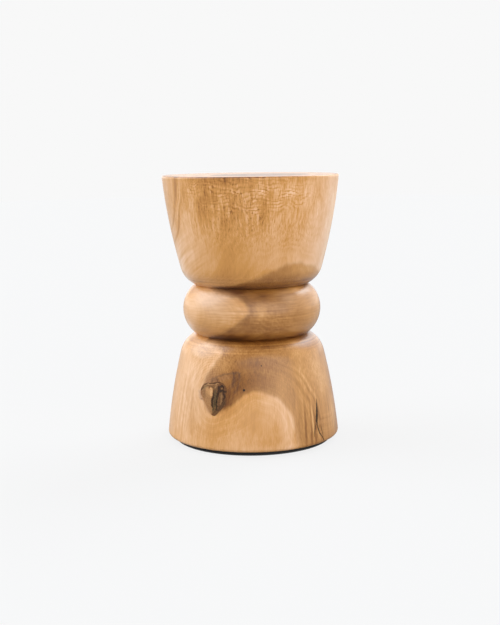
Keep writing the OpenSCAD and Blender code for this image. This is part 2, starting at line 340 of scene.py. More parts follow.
# Each mark is a run of [right, up, radius], its tone from 0 dark to 1 pale, how far it is greyed,
# how soft its edge is, and its strength. Later marks lie over earlier ones.
KNOT_MARKS = {
    "brown halo": [[[12, 14, 9], [24, 5, 10], [17, -10, 8], [6, -20, 6]], 0.34, 0, 6, 0.8],
    "knot body, left": [[[-12, 7, 13], [-12, -8, 8], [-4, -22, 7]], 0.60, 0.1, 3, 1],
    "knot body, right": [[[3, -22, 3], [12, -8, 7], [9, 8, 9]], 0.40, 0.2, 3, 0.9],
    "left edge, tan": [[[-28, 5, 2], [-25, -3, 3], [-19, -6, 2]], 0.64, 0, 3, 0.8],
    "left edge, brown": [[[-21, 4, 2.5], [-17, -1, 3.5], [-19, 8, 2]], 0.50, 0.2, 2.5, 0.8],
    "upper left, weathered": [[[-21, 11, 2], [-14, 15.5, 2]], 0.52, 0.7, 1.5, 0.9],
    "under the cream": [[[-12, 0, 3.5], [-11, -6, 3], [-8, -14, 3], [-4, -22, 2.5]], 0.60, 0.1, 2.5, 0.9],
    "cream, left lobe": [[[-13, 11, 2.6], [-10.5, 8, 3.6], [-6, 4, 3]], 0.72, 0.1, 1.8, 1],
    "cream, right lobe": [[[-5.3, 11.2, 2.6], [-4.3, 6, 3.2], [-4.2, 2, 2]], 0.80, 0, 1.6, 1],
    "above the cream": [[[-13, 16.5, 1], [-4, 16, 1.3], [1, 13.5, 1.4]], 0.38, 0.3, 1.2, 0.9],
    "notch in the cream": [[[-9, 15, 1], [-8.4, 12, 0.5]], 0.35, 0, 0.8, 0.9],
    "light top": [[[4, 19, 1.6], [2.5, 14, 1]], 0.60, 0.4, 1.4, 0.8],
    "middle vein": [[[-0.5, 10, 0.7], [0, 1, 1.2], [-1.5, -8, 2], [-1, -15, 1.5]], 0.08, 0.3, 1.2, 1],
    "olive strip": [[[3, 9, 1.1], [3.2, 0, 1.5], [3, -12, 1.9], [2, -21, 2.3]], 0.30, 0.85, 1.2, 0.9],
    "side vein": [[[6.5, 6, 0.7], [7, -8, 1], [7.3, -21, 0.7]], 0.0, 1, 1, 1],
    "dark column": [[[8.5, 17, 1.2], [8.6, 9, 1.7], [8.5, 2, 1.2]], 0.10, 0, 1, 1],
    "ring of the small knot": [[[9.8, 14, 1], [11.5, 18, 1], [15, 18.3, 1], [17.3, 15, 1.2], [15.8, 11, 1.2],
                                [11.5, 10.5, 1.2], [9.8, 14, 1]], 0.08, 0, 1, 1],
    "heart of the small knot": [[[13.5, 14.3, 0.9], [13.7, 14, 0.9]], 0.60, 0.3, 1, 0.9],
    "right arc": [[[11, 9.4, 0.9], [17, 10, 1.1], [23, 8.8, 0.9]], 0.07, 0.2, 1, 0.95],
    "right arc, down": [[[17.5, 9, 1.2], [19.6, 2, 1.4], [18.8, -4, 1]], 0.09, 0, 1.2, 0.95],
    "tan strip": [[[14.8, 4, 0.8], [15, -4, 1.4], [13.6, -11, 1.4]], 0.56, 0.4, 1.2, 0.9],
    "brown strip": [[[11.4, 1, 0.9], [11, -7, 1.5], [10.6, -15, 1.4]], 0.30, 0, 1.2, 0.9],
    "lower right": [[[21, -6, 2.5], [15, -15, 3.4], [10, -20, 2.4]], 0.24, 0.2, 2.5, 0.9],
    "foot of the knot": [[[2, -26, 1.5], [8, -24, 1.5]], 0.32, 0.4, 2, 0.8],
    "red dot, low": [[[2.4, -27.6, 0.8], [2.9, -27.4, 0.8]], 0.40, 0, 1, 0.8],
    "red dot, right": [[[9.8, -25.4, 0.8], [10.3, -25.2, 0.8]], 0.38, 0, 1, 0.8],
    "upper left outline": [[[-25, 8, 0.8], [-22, 12.5, 0.7], [-18.5, 17.5, 0.6]], 0.22, 0, 1, 0.9],
    "left dot": [[[-25, 8.8, 0.8], [-24.4, 7.6, 0.8]], 0.20, 0, 1, 0.9],
    "top outline": [[[-18.5, 18, 0.4], [-12, 20, 0.4], [-5, 20.6, 0.5], [3, 22, 0.5], [9, 23.3, 0.7]],
                    0.20, 0.2, 0.9, 0.95],
    "pale strip": [[[-14, 18, 0.3], [-6, 19.1, 0.5], [2, 20.2, 0.5], [9, 21.2, 0.4]], 0.76, 0.3, 0.9, 0.9],
    "arch over the knot": [[[-8, 26, 0.6], [4, 32, 0.9], [18, 37, 1.1], [30, 39.5, 1.2], [42, 40, 1]],
                           0.32, 0.3, 1.8, 0.75],
    "tan under the arch": [[[14, 30, 3], [26, 33, 3]], 0.58, 0, 4, 0.5],
    "first smoky streak": [[[32.5, 38, 1.5], [33.5, 28, 2.6], [32.5, 18, 1.8]], 0.30, 0.1, 2, 0.8],
    "second smoky streak": [[[41, 38, 1.2], [42, 28, 1.6], [40, 18, 1.3], [36, 8, 1]], 0.31, 0.1, 2, 0.7],
    "third smoky streak": [[[29, 22, 1], [28, 15, 1.4], [26, 9, 1]], 0.34, 0.1, 2, 0.5],
    "spots over the knot": [[[-4, 25, 0.8], [1, 27, 1.2], [6, 27.5, 0.8]], 0.30, 0.2, 1.4, 0.6],
    "low dot": [[[-22.6, -6.7, 0.9], [-22.2, -6.5, 0.9]], 0.36, 0, 1.1, 0.8],
    "second low dot": [[[-18.2, -6.4, 0.9], [-17.8, -6.2, 0.9]], 0.36, 0, 1.1, 0.8],
}


def waves(points, length, seed, count=30):
    """A smooth random field of unit strength over points, whose swells are about one length long."""
    rng = np.random.default_rng(seed)
    total = np.zeros(len(points))
    for _ in range(count):
        way = rng.normal(size=3)
        way *= 2 * math.pi / (length * rng.uniform(0.6, 1.6) * np.linalg.norm(way))
        total += np.cos(points @ way + rng.uniform(0, 2 * math.pi))
    return total * math.sqrt(2 / count)


side_rows = np.array([row for row in profile if row[0] > NECK_R - 1])


def side_radius(z):
    """Radius of the turned side at a height, between the foot's lower edge and the seat's rim."""
    return np.interp(z, side_rows[:, 1], side_rows[:, 0])


def smooth(values, low, high):
    """Runs smoothly from 0 at low to 1 at high."""
    t = np.clip((values - low) / (high - low), 0, 1)
    return t * t * (3 - 2 * t)


def from_branch(p, turn, height):
    """Distances right of, above and out along a branch that leaves the axis at a turn and height."""
    a = math.radians(turn)
    right = p[:, 0] * math.cos(a) + p[:, 1] * math.sin(a)
    out = p[:, 0] * math.sin(a) - p[:, 1] * math.cos(a)
    return right, p[:, 2] - height, out


def on_branch(right, up, out, turn, height):
    """The points at these distances right of, above and out along a branch."""
    a = math.radians(turn)
    return np.stack([right * math.cos(a) + out * math.sin(a),
                     right * math.sin(a) - out * math.cos(a), up + height], axis=-1)


def off_belt(right, up, spots):
    """How far points lie outside a belt drawn from spot to spot, each [right, up, radius]."""
    nearest = np.full(np.shape(right), 1e9)
    for a, b in zip(spots, spots[1:]):
        dx, dy = b[0] - a[0], b[1] - a[1]
        t = np.clip(((right - a[0]) * dx + (up - a[1]) * dy) / (dx * dx + dy * dy), 0, 1)
        gap = np.hypot(right - a[0] - t * dx, up - a[1] - t * dy) - a[2] - t * (b[2] - a[2])
        nearest = np.minimum(nearest, gap)
    return nearest


def round_outline(spots, grow, centre, count=120):
    """Outline of a belt round its spots, felt for outward from a centre in steps of 0.1 mm."""
    turns = np.arange(count) * 2 * math.pi / count
    reach = np.linspace(0, 60, 601)
    x = centre[0] + np.outer(np.cos(turns), reach)
    y = centre[1] + np.outer(np.sin(turns), reach)
    last = (off_belt(x, y, spots) < grow).cumprod(axis=1).sum(axis=1) - 1
    rows = np.arange(count)
    return np.stack([x[rows, last], y[rows, last]], axis=-1)


def flowing(points, step=0.7):
    """A smooth run through points by Catmull-Rom curves."""
    p = np.array(points, float)
    p = np.vstack([2 * p[0] - p[1], p, 2 * p[-1] - p[-2]])
    run = []
    for a, b, c, d in zip(p, p[1:], p[2:], p[3:]):
        for t in np.linspace(0, 1, max(2, round(math.dist(b[:2], c[:2]) / step)), endpoint=False):
            run.append(0.5 * (2 * b + (c - a) * t + (2 * a - 5 * b + 4 * c - d) * t ** 2
                              + (3 * b - a - 3 * c + d) * t ** 3))
    return np.array(run + [p[-2]])


def band_outline(spots, waver, seed):
    """Outline of a crack: up one side of its run and down the other, with a natural waver."""
    run = flowing(spots)
    way = np.gradient(run[:, :2], axis=0)
    way /= np.linalg.norm(way, axis=1)[:, None]
    across = np.stack([-way[:, 1], way[:, 0]], axis=-1)
    rough = np.pad(run[:, :2], ((0, 0), (0, 1)))
    left = run[:, 2] * (1 + waver * waves(rough, 5, seed))
    right = run[:, 2] * (1 + waver * waves(rough, 5, seed + 1))
    there = run[:, :2] + across * left[:, None]
    back = run[:, :2] - across * right[:, None]
    return np.concatenate([there, back[::-1]])


def cutter(outline, turn, height, depth):
    """A flat outline as a straight cutting shape, sunk into the foot to a depth."""
    surface = side_radius(height)
    n = len(outline)
    low = on_branch(outline[:, 0], outline[:, 1], np.full(n, surface - depth), turn, height)
    high = on_branch(outline[:, 0], outline[:, 1], np.full(n, surface + PAST), turn, height)
    sides = [[i, (i + 1) % n, n + (i + 1) % n, n + i] for i in range(n)]
    made = mesh_object("cutter", np.concatenate([low, high]),
                       sides + [list(range(n - 1, -1, -1)), list(range(n, 2 * n))])
    solid = bmesh.new()
    solid.from_mesh(made.data)
    bmesh.ops.recalc_face_normals(solid, faces=solid.faces)
    bmesh.ops.triangulate(solid, faces=[f for f in solid.faces if len(f.verts) > 4])
    solid.to_mesh(made.data)
    solid.free()
    return made


def billet(name, turn, height, span, depth, step, relief):
    """A block of filling, whose outer face follows the turned side with a little relief."""
    right = np.arange(span[0], span[1] + step / 2, step)
    up = np.arange(span[2], span[3] + step / 2, step)
    x, y = np.meshgrid(right, up)
    surface = np.sqrt(side_radius(height + y) ** 2 - x ** 2) + relief(x, y)
    top = on_branch(x, y, surface, turn, height).reshape(-1, 3)
    floor_out = np.full(x.shape, side_radius(height) - depth)
    under = on_branch(x, y, floor_out, turn, height).reshape(-1, 3)
    here = np.arange(x.size).reshape(x.shape)
    quads = np.stack([here[:-1, :-1], here[:-1, 1:], here[1:, 1:], here[1:, :-1]], -1).reshape(-1, 4)
    rim = np.concatenate([here[0, :-1], here[:-1, -1], here[-1, :0:-1], here[:0:-1, 0]])
    walls = [[int(a), int(a) + x.size, int(b) + x.size, int(b)] for a, b in zip(rim, np.roll(rim, -1))]
    faces = quads.tolist() + (quads[:, ::-1] + x.size).tolist() + walls
    return mesh_object(name, np.concatenate([top, under]), faces)


def carve(piece, tool, operation, discard=False):
    """Cuts a piece by a tool's shape, joins them, or keeps what lies in both."""
    cut = piece.modifiers.new("cut", "BOOLEAN")
    cut.operation = operation
    cut.object = tool
    cut.solver = "MANIFOLD"
    now = bpy.context.evaluated_depsgraph_get()
    shape = bpy.data.meshes.new_from_object(piece.evaluated_get(now))
    piece.modifiers.remove(cut)
    old, piece.data = piece.data, shape
    bpy.data.meshes.remove(old)
    if discard:
        bpy.data.meshes.remove(tool.data)


pocket = cutter(round_outline(KNOT_SPOTS, KNOT_SEAM, KNOT_MIDDLE), KNOT_TURN, KNOT_Z, KNOT_DEPTH)
bare_knot = cutter(round_outline(KNOT_SPOTS, 0, KNOT_MIDDLE), KNOT_TURN, KNOT_Z, KNOT_DEPTH + 1)
veins = [cutter(band_outline(MAIN_VEIN, VEIN_WAVER, 41), KNOT_TURN, KNOT_Z, KNOT_DEPTH + 2),
         cutter(band_outline(SIDE_VEIN, VEIN_WAVER, 43), KNOT_TURN, KNOT_Z, KNOT_DEPTH + 2)]
carve(turned_log, pocket, "DIFFERENCE")


def knot_relief(right, up):
    """End grain stands a little uneven after sanding, in millimetres."""
    rough = np.stack([right.ravel(), up.ravel(), 0 * up.ravel()], axis=-1)
    return 0.05 * waves(rough, 3, 51).reshape(right.shape)


def resin_relief(right, up):
    """Resin shrinks a little as it sets, so it lies just under the wood, in millimetres."""
    return -0.15 + 0 * right


knot_core = billet("knot_core_wood", KNOT_TURN, KNOT_Z, KNOT_SPAN, KNOT_DEPTH - 0.5, KNOT_STEP,
                   knot_relief)
carve(knot_core, bare_knot, "INTERSECT", discard=True)
for vein in veins:
    carve(knot_core, vein, "DIFFERENCE", discard=True)

knot_resin = billet("knot_resin_fill", KNOT_TURN, KNOT_Z, KNOT_SPAN, KNOT_DEPTH + 2, KNOT_STEP,
                    resin_relief)
carve(knot_resin, pocket, "INTERSECT", discard=True)
carve(knot_resin, knot_core, "DIFFERENCE")


def points_of(piece):
    """A piece's vertices as an array in millimetres."""
    co = np.empty(len(piece.data.vertices) * 3, np.float32)
    piece.data.vertices.foreach_get("co", co)
    return co.reshape(-1, 3).astype(float) / MM


def give(piece, name, values):
    """Stores a field on a piece's vertices for its material to read."""
    kind = "FLOAT_VECTOR" if values.ndim == 2 else "FLOAT"
    field = piece.data.attributes.new(name, kind, "POINT")
    key = "vector" if values.ndim == 2 else "value"
    field.data.foreach_set(key, np.ascontiguousarray(values, np.float32).ravel())


def dress(piece, material, node):
    """Finishes a piece: its material, its smooth shading, and what it rides on and stands for."""
    piece.data.materials.clear()
    piece.data.materials.append(material)
    piece.data.shade_smooth()
    piece.data.set_sharp_from_angle(angle=math.radians(SHARP_EDGE))
    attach(piece, "root")
    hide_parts(node)


def paint_knot(piece, tone, first):
    """Lays the marks of the knot over a piece's own tone, from the first one named on.

    The marks wander a little from their runs, and stay off the far side of the log.
    """
    right, up, out = from_branch(points_of(piece), KNOT_TURN, KNOT_Z)
    place = np.stack([right, up, 0 * up], axis=-1)
    front = smooth(out, 40, 80)
    right = right + 0.5 * waves(place, 6, 64)
    up = up + 0.6 * waves(place, 6, 65)
    dead = np.zeros(len(right))
    cover = np.zeros(len(right))
    names = list(KNOT_MARKS)
    for name in names[names.index(first):]:
        spots, shade, weathered, soft, strength = KNOT_MARKS[name]
        over = strength * front * (1 - smooth(off_belt(right, up, spots), -soft, soft))
        tone = tone + (shade - tone) * over
        dead += (weathered - dead) * over
        cover += (1 - cover) * over
    give(piece, "tone", tone)
    give(piece, "dead", dead)
    give(piece, "knotty", cover)


end_grain = np.stack(from_branch(points_of(knot_core), KNOT_TURN, KNOT_Z), axis=-1)
give(knot_core, "grain", end_grain)
paint_knot(knot_core, np.full(len(end_grain), 0.42), "brown halo")

# Knot wood is dense end grain, darker and duller than the trunk, and greyed where it was dead. Its
# fibre ends, 0.1 mm across, are drawn coarser so that they show.
KNOT_FIBRE = 1.4286

knot_wood, tree = new_material("oiled_knot_wood")
grain = add_node(tree, "ShaderNodeAttribute", attribute_name="grain").outputs["Vector"]
tone = add_node(tree, "ShaderNodeAttribute", attribute_name="tone").outputs["Fac"]
dead = add_node(tree, "ShaderNodeAttribute", attribute_name="dead").outputs["Fac"]
fibre = add_node(tree, "ShaderNodeTexNoise", {"Vector": grain, "Scale": 1 / KNOT_FIBRE, "Detail": 4.0})
fibre = add_node(tree, "ShaderNodeMath", {0: fibre, 1: 0.5}, operation="SUBTRACT")
tone = add_node(tree, "ShaderNodeMath", {0: fibre, 1: 0.45, 2: tone}, operation="MULTIPLY_ADD")
brown = add_node(tree, "ShaderNodeValToRGB", {"Fac": tone}, KNOT_SHADES)
greyed = add_node(tree, "ShaderNodeValToRGB", {"Fac": tone}, DEAD_SHADES)
shade = add_node(tree, "ShaderNodeMix", {0: dead, 6: brown, 7: greyed}, data_type="RGBA")
bump = add_node(tree, "ShaderNodeBump", {"Height": fibre, "Strength": 0.5, "Distance": 0.4 * MM})
skin = add_node(tree, "ShaderNodeBsdfPrincipled",
                {"Base Color": shade.outputs[2], "Roughness": 0.5, "Specular IOR Level": 0.2,
                 "Coat Weight": 0.1, "Coat Roughness": 0.3, "Normal": bump})
add_node(tree, "ShaderNodeOutputMaterial", {"Surface": skin})
dress(knot_core, knot_wood, "knot_core")

# Epoxy tinted brown-black, smooth and a little cloudy where wood dust got in; it takes the tone of
# the wood behind it where it is thin.
RESIN_CLOUD = 2.6316

dark_epoxy, tree = new_material("dark_epoxy_resin")
place = add_node(tree, "ShaderNodeTexCoord").outputs["Object"]
tone = add_node(tree, "ShaderNodeAttribute", attribute_name="tone").outputs["Fac"]
dead = add_node(tree, "ShaderNodeAttribute", attribute_name="dead").outputs["Fac"]
cloud = add_node(tree, "ShaderNodeTexNoise",
                 {"Vector": place, "Scale": 1 / (RESIN_CLOUD * MM), "Detail": 3.0})
cloud = add_node(tree, "ShaderNodeMath", {0: cloud, 1: 0.5}, operation="SUBTRACT")
tone = add_node(tree, "ShaderNodeMath", {0: cloud, 1: 0.35, 2: tone}, operation="MULTIPLY_ADD")
brown = add_node(tree, "ShaderNodeValToRGB", {"Fac": tone}, KNOT_SHADES)
greyed = add_node(tree, "ShaderNodeValToRGB", {"Fac": tone}, DEAD_SHADES)
shade = add_node(tree, "ShaderNodeMix", {0: dead, 6: brown, 7: greyed}, data_type="RGBA")
skin = add_node(tree, "ShaderNodeBsdfPrincipled",
                {"Base Color": shade.outputs[2], "Roughness": 0.4, "Specular IOR Level": 0.2})
add_node(tree, "ShaderNodeOutputMaterial", {"Surface": skin})
paint_knot(knot_resin, np.full(len(knot_resin.data.vertices), 0.3), "brown halo")
dress(knot_resin, dark_epoxy, "knot_resin")

# The check
# A drying crack opened low on the right and forked towards the floor. It follows the fibres, and
# is filled with the same dark resin.
CHECK_TURN = 47.5
CHECK_Z = 45
CHECK_DEPTH = 24
CHECK_STEM = [[6, 38, 0.3], [4.5, 30, 1.2], [2.8, 20, 2.1], [0.8, 10, 2.7], [-1, 2, 2.5], [0, -6, 1.5],
              [1.5, -12, 1.2], [3.5, -18, 1.1], [7, -22.5, 1], [11, -28, 1], [15, -35, 1],
              [19, -42, 0.8]]
CHECK_LEFT = [[-1, 3, 0.8], [-4.5, -3, 1.2], [-7, -9, 1.1], [-8.5, -16, 0.8], [-9.5, -22, 0.4]]
CHECK_RIGHT = [[9, -7, 0.3], [9.8, -13, 0.7], [11.2, -20, 0.6], [12, -29.5, 0.5]]
CHECK_SPAN = (-14, 22, -46, 41)
STEM_WAVER = 0.1
BRANCH_WAVER = 0.2
# The resin is thinnest round the fork, where the wood shows through
FORK_Z = 41
FORK_REACH = 5


def paint_resin(piece, tone, dead):
    """Gives a resin filling its tone, a little lighter in places, and how far it is greyed."""
    p = points_of(piece)
    give(piece, "tone", tone + 0.07 * waves(p, 12, 77))
    give(piece, "dead", dead + 0 * p[:, 0])


check_resin = billet("check_resin_fill", CHECK_TURN, CHECK_Z, CHECK_SPAN, CHECK_DEPTH + 2, KNOT_STEP,
                     resin_relief)
stem = cutter(band_outline(CHECK_STEM, STEM_WAVER, 71), CHECK_TURN, CHECK_Z, CHECK_DEPTH)
for spots, seed in ((CHECK_LEFT, 73), (CHECK_RIGHT, 75)):
    branch = cutter(band_outline(spots, BRANCH_WAVER, seed), CHECK_TURN, CHECK_Z, CHECK_DEPTH)
    carve(stem, branch, "UNION", discard=True)
carve(turned_log, stem, "DIFFERENCE")
carve(check_resin, stem, "INTERSECT", discard=True)
thin = np.exp(-((points_of(check_resin)[:, 2] - FORK_Z) / FORK_REACH) ** 2)
paint_resin(check_resin, 0.18 + 0.18 * thin, 0.5 - 0.3 * thin)
dress(check_resin, dark_epoxy, "check_resin")

# The pin knots
# Two twigs died small and left pin knots above the pale arch: each is drilled out by decay and
# filled with the same resin.
PIN_KNOTS = {"low": {"turn": -6.2, "z": 108.5, "r": 2.0, "depth": 12},
             "high": {"turn": 6.5, "z": 146.5, "r": 1.2, "depth": 8}}

for name, pin in PIN_KNOTS.items():
    turns = np.arange(48) * 2 * math.pi / 48
    outline = pin["r"] * np.stack([np.cos(turns), np.sin(turns)], axis=-1)
    hole = cutter(outline, pin["turn"], pin["z"], pin["depth"])
    reach = pin["r"] + 1
    plug = billet("pin_knot_" + name, pin["turn"], pin["z"], (-reach, reach, -reach, reach),
                  pin["depth"] + 2, KNOT_STEP, resin_relief)
    carve(turned_log, hole, "DIFFERENCE")
    carve(plug, hole, "INTERSECT", discard=True)
    paint_resin(plug, 0.08, 0.1)
    dress(plug, dark_epoxy, "pin_knot_resin")

# The screw holes
# Four pilot holes are bored up into the foot from the recess, as wide as the screws' shanks, with
# the drill's pointed end. They are part of the turned log.
SCREW_CIRCLE_R = 100
PILOT_R = 2.27
PILOT_TOP = 39.5
PILOT_POINT = 6

pilot = [(0, UNDER_Z), (PILOT_R, UNDER_Z), (PILOT_R, PILOT_TOP - PILOT_POINT), (0, PILOT_TOP)]
for turn in (45, 135, 225, 315):
    hole = lathe("pilot_hole", pilot, 32)
    x, y = SCREW_CIRCLE_R * math.sin(math.radians(turn)), SCREW_CIRCLE_R * math.cos(math.radians(turn))
    hole.data.transform(Matrix.Translation((x * MM, y * MM, 0)))
    carve(turned_log, hole, "DIFFERENCE", discard=True)

# Sanding and oiling
# Tropical log wood: pale sapwood round brown heartwood, with interlocked grain under a satin oil.
# The pith runs right of the lathe's axis and in front of it, so the turner's cuts bare heartwood
# in front: in both grooves, on the ring and on the upper foot, round the knot of a branch.
PITH = (17, -31)
HEART_R = 83
# The side is laid flat at this radius. The seat's face is placed far off it, so that nothing painted
# on the side reaches the face.
FLAT_R = 130
OFF_SIDE = 900
# The heartwood's edge on the side, each point a turn in degrees from the front and a height
HEART_EDGE = [[-46, 266], [-38, 269], [-20, 274], [-10, 278], [0, 284.5], [8, 291], [15, 298.5], [22, 303],
              [30, 309], [40, 309.5], [50, 305], [60, 299], [68, 292], [78, 286], [92, 279], [106, 269],
              [104, 250], [101, 230], [104, 205], [116, 180], [118, 150], [108, 110], [97, 50], [96, 0],
              [32, 0], [31, 14], [30, 27], [28.5, 44], [26.5, 62], [24, 74], [20.5, 87], [16, 96],
              [10, 101.5], [5, 106], [0, 107.5], [-5, 101.5], [-9.5, 93], [-13.5, 84.5], [-17.8, 78],
              [-22, 71], [-26, 67], [-31, 69], [-34, 78], [-36.5, 88], [-38.5, 96], [-38.8, 105],
              [-37.5, 116], [-35.5, 128], [-32, 140], [-29, 151], [-25, 162], [-29, 171], [-40, 177],
              [-48, 182], [-39, 188], [-30, 194.5], [-22, 201.5], [-15, 210], [-8, 220.5], [-4, 230],
              [-4, 239], [-8, 248.5], [-15, 255.5], [-28, 260.5], [-38, 263]]
HEART_SOFT = 1.4
# Growth rings and strokes of grain, in millimetres; the strokes are several times as coarse as the
# real vessels, about 0.2 mm across, so that they show
RING_GAP = 2.6
RIPPLE_GAP = 5.6
FIBRE_W = 1.9
FIBRE_L = 18
FLECK_W = 1.7
FLECK_L = 13
# The line scored round the middle of the ring
SCORE_Z = 234.2
# Each groove's painted shade: its darkest height, and how far the shade reaches above and below it
GROOVE_SHADE = [[UPPER_Z + 2, 8.5, 5], [LOWER_Z + 1.5, 7, 5]]
# Where tool lines show: height, reach and strength
TOOLED = [[277, 10, 1], [172, 9, 1.5], [226, 34, 0.5]]

# Rings of dry years on the seat's upper left: the run as [turn, height, radius], the softness of its
# edge, and the change of tone
DRY_YEARS = [
    [[[-53.5, 453, 4.5], [-56.5, 420, 4], [-60, 400, 3], [-63, 387, 2.6], [-68, 373, 2.4], [-76, 361, 1],
      [-90, 346, -1], [-105, 336, -2.4]], 2.4, -0.20],
    [[[-52.3, 422, 0.2], [-53.5, 402, 1.8], [-56, 385, 2.6], [-58, 372, 2.6], [-61, 361, 2.6],
      [-67, 350, 2.4], [-75, 341, 1], [-88, 329, -1], [-102, 320, -2.2]], 2.2, -0.20],
    [[[-49.5, 453, 0.8], [-50.8, 430, 0.8], [-52, 415, 1], [-54.5, 403, 0.8], [-57, 390, 0.8],
      [-60, 378, 0.4]], 1.6, 0.20]]

# Soft oval areas of the side, each [turn, height, half width, half height, strength]: where the wood
# is lighter or darker, partly as painted highlights, lit edges and shade, more or less yellow, partly
# greyer as painted sheen, its oil has sunk in, and each kind of figure shows
# These broad areas are partly the wood's own tone and partly painted light: lighter at the side edges and in
# highlights on the ring and foot, darker under the bulges and beside the grooves
TONED_AND_LIT = [
    [-14, 425, 60, 40, -0.13], [-14, 345, 30, 30, -0.07], [-30, 410, 10, 45, -0.10],
    [9, 415, 8, 25, -0.10], [55, 350, 60, 100, 0.10], [-45, 320, 30, 60, 0.05],
    [-14, 446, 55, 12, -0.15], [-18, 380, 12, 25, -0.12], [75, 350, 40, 90, 0.12],
    [-72, 320, 34, 35, 0.16], [28, 430, 40, 20, 0.07], [-5, 448, 130, 6, -0.06],
    [75, 370, 30, 90, 0.12], [48, 405, 50, 40, 0.07], [-57, 352, 22, 20, 0.10],
    [62, 350, 30, 60, 0.06], [-20, 303, 24, 14, -0.06], [38, 303, 22, 10, 0.07],
    [34, 300, 26, 12, 0.04], [12, 297, 24, 6, -0.07], [50, 297, 40, 10, 0.10],
    [-74, 298, 14, 10, 0.08], [74, 298, 14, 10, 0.08], [-18, 288, 36, 12, -0.13],
    [-72, 286, 26, 24, 0.16], [-57, 286, 14, 14, 0.10], [-72, 272, 22, 10, 0.16],
    [-72, 277, 22, 8, 0.10], [-72, 277, 18, 6, 0.08], [-18, 277, 14, 4, -0.08],
    [48, 277, 26, 4, -0.08], [0, 275.5, 36, 4, 0.06], [6, 270, 60, 5, 0.10],
    [46, 264, 24, 4, 0.22], [-38, 263, 22, 4, 0.10], [-14, 262, 20, 4, -0.16],
    [-72, 262, 14, 6, -0.10], [44, 262, 26, 4, 0.08], [-72, 256, 16, 10, -0.14],
    [32, 256, 18, 12, 0.10], [8, 255, 26, 8, -0.16], [-10, 250, 30, 12, -0.14],
    [7, 232, 14, 14, 0.26], [55, 230, 60, 50, 0.10], [-55, 228, 40, 12, 0.06],
    [72, 226, 16, 18, 0.14], [30, 225, 40, 25, 0.05], [-8, 222, 16, 12, -0.10],
    [62, 208, 24, 16, 0.08], [14, 206, 28, 8, -0.10], [-20, 202, 16, 6, -0.10],
    [-19, 202, 12, 6, -0.05], [-72, 200, 24, 16, 0.18], [-74, 195, 20, 12, 0.14],
    [-38, 192, 20, 5, -0.08], [16, 192, 16, 5, -0.08], [-20, 190, 40, 6, -0.18],
    [0, 187, 26, 4, 0.06], [72, 187, 14, 4, 0.20], [72, 187, 12, 4, 0.14],
    [75, 187, 10, 5, 0.10], [12, 186, 60, 4, 0.13], [32, 186, 18, 3.5, 0.09],
    [-36, 178, 20, 4, 0.10], [-42, 177, 14, 5, 0.20], [12, 175, 30, 6, -0.12],
    [-72, 175, 16, 8, -0.10], [-70, 171, 22, 9, -0.16], [60, 171, 34, 9, -0.18],
    [-48, 170, 30, 6, -0.12], [-18, 170, 16, 6, 0.07], [-14, 165, 18, 8, 0.05],
    [-42, 161, 34, 8, -0.10], [36, 160, 60, 8, 0.10], [0, 152, 40, 8, -0.10],
    [-18, 150, 20, 14, 0.17], [-30, 148, 20, 14, 0.13], [36, 140, 20, 30, 0.06],
    [55, 130, 50, 40, 0.26], [-13, 128, 14, 22, -0.20], [2, 125, 26, 22, -0.14],
    [-17, 121, 8, 10, 0.06], [-8, 115, 16, 14, -0.08], [-72, 115, 18, 40, 0.09],
    [-19, 112, 8, 8, 0.06], [20, 110, 22, 40, 0.14], [-30, 106, 10, 12, -0.10],
    [-20, 100, 14, 18, -0.28], [55, 100, 22, 22, 0.08], [12, 92, 14, 10, 0.06],
    [-22, 80, 16, 12, -0.22], [29, 75, 12, 25, 0.08], [34, 68, 26, 30, 0.06],
    [-2, 66, 26, 22, -0.05], [43.5, 62, 4, 18, 0.08], [62, 60, 30, 50, 0.05],
    [49, 58, 4, 18, -0.16], [22, 55, 12, 45, 0.12], [36, 50, 18, 60, 0.06],
    [62, 50, 40, 40, 0.08], [-4, 50, 18, 14, -0.07], [72, 45, 16, 30, 0.14],
    [48, 37, 4, 8, -0.12], [-40, 32, 16, 14, -0.06], [14, 13, 60, 6, 0.10]]
# Less yellow in places as painted sheen, on the left of the ring and foot and high on the ring's right; more
# yellow in places as the wood's own tone
YELLOWED_AND_SHEEN = [
    [-32, 245, 55, 28, -0.20], [-40, 170, 34, 14, -0.10], [2, 130, 42, 26, 0.04],
    [35, 410, 50, 40, 0.04], [-48, 90, 50, 80, -0.12], [32, 252, 24, 14, -0.12]]
SUNK_IN = [
    [-8, 118, 30, 35, -0.60], [-20, 90, 20, 25, -0.40], [58, 172, 42, 14, -0.50],
    [58, 255, 16, 7, -0.30], [-72, 254, 16, 18, -0.50], [-70, 172, 20, 16, -0.30],
    [80, 380, 30, 100, -0.30], [78, 415, 18, 34, -0.30], [76, 262, 14, 12, -0.40],
    [76, 204, 12, 16, -0.35]]
RINGED = [[-45, 150, 40, 60, 0.02], [42, 90, 30, 80, 0.055]]
RIPPLED = [[-20, 434, 44, 18, 1], [5, 430, 25, 20, 1], [24, 416, 30, 16, 1], [-8, 400, 40, 8, 1]]
SLANTING = [[-62, 318, 45, 30, 0.07]]
UPRIGHT = [[-54, 60, 22, 60, 0.07], [40, 45, 26, 45, 0.098], [62, 50, 20, 50, 0.042]]
ARCHED = [[-36, 140, 50, 34, 0.035], [-31, 155, 24, 12, 0.05]]
CURLED = [[14, 218, 50, 26, 0.04]]
FIBROUS = [[1, 65, 32, 45, -0.45], [-28, 40, 30, 25, -0.25], [-42, 360, 40, 60, -0.25]]
FLECKED = [[-6, 400, 90, 55, 1.2], [-20, 130, 60, 60, 0.5]]

SAPWOOD_SHADES = {0.0: "#70400e", 0.25: "#ab6f2c", 0.5: "#cd9149", 0.65: "#dda771", 0.8: "#ebbd93",
                  1.0: "#fadabb"}
HEARTWOOD_SHADES = {0.0: "#2b1403", 0.25: "#6a3a0b", 0.5: "#9c662b", 0.75: "#c38b4a", 1.0: "#e5b37a"}


